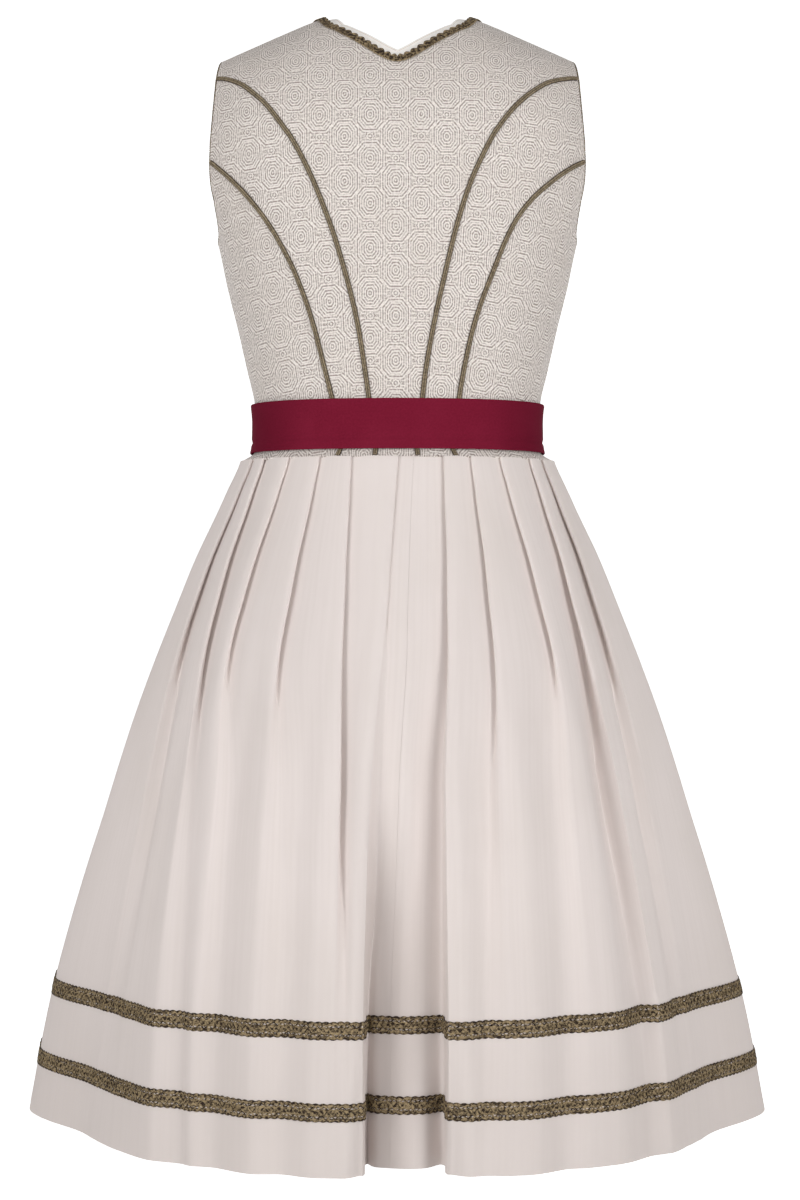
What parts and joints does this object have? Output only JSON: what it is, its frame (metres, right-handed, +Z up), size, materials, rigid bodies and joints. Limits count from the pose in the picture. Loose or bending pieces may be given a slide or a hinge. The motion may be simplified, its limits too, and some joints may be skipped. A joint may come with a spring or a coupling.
{
  "type": "women's sleeveless dirndl dress",
  "caption": "Sleeveless dirndl with a fitted princess-seamed bodice, V neck, band belt and full pleated skirt with lace bands near the hem, filled out as worn.",
  "frame": {"origin": "midway between the two neck points of the shoulders, where the wearer's shoulders carry the dress", "axes": "+Z up along the body, +Y out of the front of the dress, -Y out of its back, +X to the wearer's right"},
  "size_m": [0.7232, 0.6365, 1.0806],
  "materials": {
    "brocade": "matte jacquard with a faint satin figure",
    "cotton": "matte cotton",
    "piping": "corded braid",
    "lace": "matte bobbin lace",
    "facing": "matte tape",
    "belt": "matte satin cotton"
  },
  "bodies": {
    "root": {"back_center": "brocade", "back_middle_left": "brocade", "back_side_left": "brocade", "front_side_left": "brocade", "front_center_left": "brocade", "back_middle_right": "brocade", "back_side_right": "brocade", "front_side_right": "brocade", "front_center_right": "brocade", "piping_inner_left": "piping", "piping_inner_right": "piping", "piping_outer_left": "piping", "piping_outer_right": "piping", "armhole_piping_left": "piping", "armhole_piping_right": "piping", "neck_lace": "lace", "lace_upper": "lace", "lace_lower": "lace", "neck_facing": "facing", "belt": "belt", "belt_lapped_end": "belt", "skirt_back_left": "cotton", "skirt_back_right": "cotton", "skirt_front_left": "cotton", "skirt_front_right": "cotton"}
  },
  "joints": []
}
